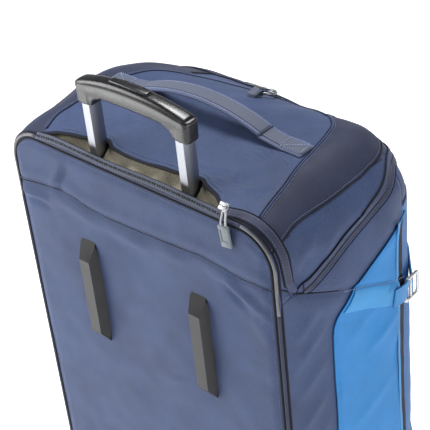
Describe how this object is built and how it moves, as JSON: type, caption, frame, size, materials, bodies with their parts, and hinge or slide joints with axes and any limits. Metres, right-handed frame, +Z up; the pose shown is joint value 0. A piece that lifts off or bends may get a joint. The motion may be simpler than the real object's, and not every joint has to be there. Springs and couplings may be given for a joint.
{
  "type": "wheeled equipment bag",
  "caption": "Upright wheeled soft bag with a telescopic pull handle, padded top handle, zipped front lid, hinged end flap, side compression straps with hooks and skid rails.",
  "frame": {"origin": "centre of the bounding box's base, on the floor the bag stands on", "axes": "+Z up, +Y towards the front (lid side), -Y the back (pull-handle side), +X the bag's right side as seen from the back"},
  "size_m": [0.4392, 0.3349, 0.8562],
  "materials": {
    "bag_navy": "satin",
    "wing_blue": "satin",
    "front_blue": "satin",
    "lining": "matte",
    "webbing": "matte",
    "reflective": "satin",
    "zip_tape": "matte",
    "black_plastic": "satin",
    "pull_plastic": "satin",
    "board": "matte",
    "tube": "satin",
    "hook_metal": "satin",
    "steel": "satin",
    "tyre": "matte",
    "wheel_plastic": "satin"
  },
  "bodies": {
    "bag": {"end_bridge": "bag_navy", "end_zip_body": "zip_tape", "bottom_panel": "bag_navy", "side_panel_right": "bag_navy", "side_panel_left": "bag_navy", "front_frame": "front_blue", "lid_zip_frame": "zip_tape", "back_panel": "bag_navy", "back_piping": "bag_navy", "reflective_piping": "reflective", "back_board": "board", "pocket_lining": "lining", "trolley_zip": "zip_tape", "wing_right": "wing_blue", "wing_left": "wing_blue", "straps": "webbing", "skid_rail_right": "black_plastic", "skid_rail_left": "black_plastic", "outer_tube_right": "tube", "outer_tube_left": "tube", "tube_collars": "black_plastic", "tube_foot": "black_plastic", "wheel_bearings": "steel", "axles": "steel", "chassis": "black_plastic", "feet": "black_plastic", "rail_screws": "steel"},
    "lid": {"front_lid": "front_blue", "lid_zip_inner": "zip_tape"},
    "flap": {"end_flap": "bag_navy", "end_zip_flap": "zip_tape", "handle_ends": "webbing", "front_loop": "webbing"},
    "grab": {"top_handle": "webbing"},
    "ring": {"front_ring": "steel"},
    "pull_handle": {"inner_tube_right": "tube", "inner_tube_left": "tube", "grip_lower_shell": "black_plastic", "grip_upper_shell": "black_plastic", "grip_rivets": "steel", "slide_shoes": "black_plastic", "button_spring": "steel"},
    "button": {"release_button": "black_plastic", "push_rods": "steel"},
    "pin_right": {"lock_pin_right": "steel"},
    "pin_left": {"lock_pin_left": "steel"},
    "wheel_right": {"wheel_right": "wheel_plastic", "tyre_right": "tyre"},
    "wheel_left": {"wheel_left": "wheel_plastic", "tyre_left": "tyre"},
    "hook_high_right": {"hook_high_right": "hook_metal"},
    "hook_high_left": {"hook_high_left": "hook_metal"},
    "hook_low_right": {"hook_low_right": "hook_metal"},
    "hook_low_left": {"hook_low_left": "hook_metal"},
    "trolley_slider": {"trolley_slider": "steel"},
    "trolley_pull": {"trolley_pull": "pull_plastic"},
    "end_slider": {"end_slider": "steel"},
    "end_pull": {"end_pull": "pull_plastic"},
    "lid_slider": {"lid_slider": "steel"},
    "lid_pull": {"lid_pull": "pull_plastic"}
  },
  "joints": [
    {"name": "pull_handle_slide", "type": "slide", "parent": "bag", "child": "pull_handle", "axis": [0, 0, 1], "range_m": [-0.095, 0.33]},
    {"name": "button_press", "type": "slide", "parent": "pull_handle", "child": "button", "axis": [0, 0, -1], "range_m": [0, 0.004], "stiffness_N_per_m": 500, "springref_m": -0.002, "deforming": ["button_spring"]},
    {"name": "pin_right_slide", "type": "slide", "parent": "pull_handle", "child": "pin_right", "axis": [-1, 0, 0], "range_m": [0, 0.0025]},
    {"name": "pin_left_slide", "type": "slide", "parent": "pull_handle", "child": "pin_left", "axis": [1, 0, 0], "range_m": [0, 0.0025]},
    {"name": "wheel_right_spin", "type": "hinge", "parent": "bag", "child": "wheel_right", "pos_m": [0.181, -0.12255, 0.045], "axis": [1, 0, 0], "continuous": true},
    {"name": "wheel_left_spin", "type": "hinge", "parent": "bag", "child": "wheel_left", "pos_m": [-0.181, -0.12255, 0.045], "axis": [1, 0, 0], "continuous": true},
    {"name": "lid_hinge", "type": "hinge", "parent": "bag", "child": "lid", "pos_m": [0, 0.16775, 0.1262], "axis": [-1, 0, 0], "range_deg": [0, 95]},
    {"name": "lid_slider_slide", "type": "slide", "parent": "lid", "child": "lid_slider", "axis": [0, 0, 1], "range_m": [-0.045, 0.36]},
    {"name": "lid_pull_hinge", "type": "hinge", "parent": "lid_slider", "child": "lid_pull", "pos_m": [0.15446, 0.13508, 0.2087], "axis": [0.7778, -0.6286, 0], "range_deg": [0, 120]},
    {"name": "flap_hinge", "type": "hinge", "parent": "bag", "child": "flap", "pos_m": [0, -0.1027, 0.7617], "axis": [1, 0, 0], "range_deg": [0, 60]},
    {"name": "grab_hinge", "type": "hinge", "parent": "flap", "child": "grab", "pos_m": [0, -0.02955, 0.779], "axis": [1, 0, 0], "range_deg": [-40, 40]},
    {"name": "end_slider_slide", "type": "slide", "parent": "flap", "child": "end_slider", "axis": [1, 0, 0], "range_m": [-0.09, 0.21]},
    {"name": "end_pull_hinge", "type": "hinge", "parent": "end_slider", "child": "end_pull", "pos_m": [-0.06, 0.09367, 0.73671], "axis": [1, 0, 0], "range_deg": [0, 120]},
    {"name": "trolley_slider_slide", "type": "slide", "parent": "bag", "child": "trolley_slider", "axis": [1, 0, 0], "range_m": [-0.035, 0.02]},
    {"name": "trolley_pull_hinge", "type": "hinge", "parent": "trolley_slider", "child": "trolley_pull", "pos_m": [0.131, -0.15965, 0.7562], "axis": [-1, 0, 0], "range_deg": [0, 150]},
    {"name": "ring_hinge", "type": "hinge", "parent": "flap", "child": "ring", "pos_m": [0, 0.05072, 0.75817], "axis": [1, 0, 0], "range_deg": [0, 80]},
    {"name": "hook_high_right_hinge", "type": "hinge", "parent": "bag", "child": "hook_high_right", "pos_m": [0.20081, 0.08322, 0.56], "axis": [0, 0, 1], "range_deg": [0, 100]},
    {"name": "hook_high_left_hinge", "type": "hinge", "parent": "bag", "child": "hook_high_left", "pos_m": [-0.20081, 0.08322, 0.56], "axis": [0, 0, -1], "range_deg": [0, 100]},
    {"name": "hook_low_right_hinge", "type": "hinge", "parent": "bag", "child": "hook_low_right", "pos_m": [0.20081, 0.08322, 0.27], "axis": [0, 0, 1], "range_deg": [0, 100]},
    {"name": "hook_low_left_hinge", "type": "hinge", "parent": "bag", "child": "hook_low_left", "pos_m": [-0.20081, 0.08322, 0.27], "axis": [0, 0, -1], "range_deg": [0, 100]}
  ],
  "couplings": [
    {"joint": "pin_right_slide", "follows": "button_press", "ratio": 0.625},
    {"joint": "pin_left_slide", "follows": "button_press", "ratio": 0.625}
  ]
}
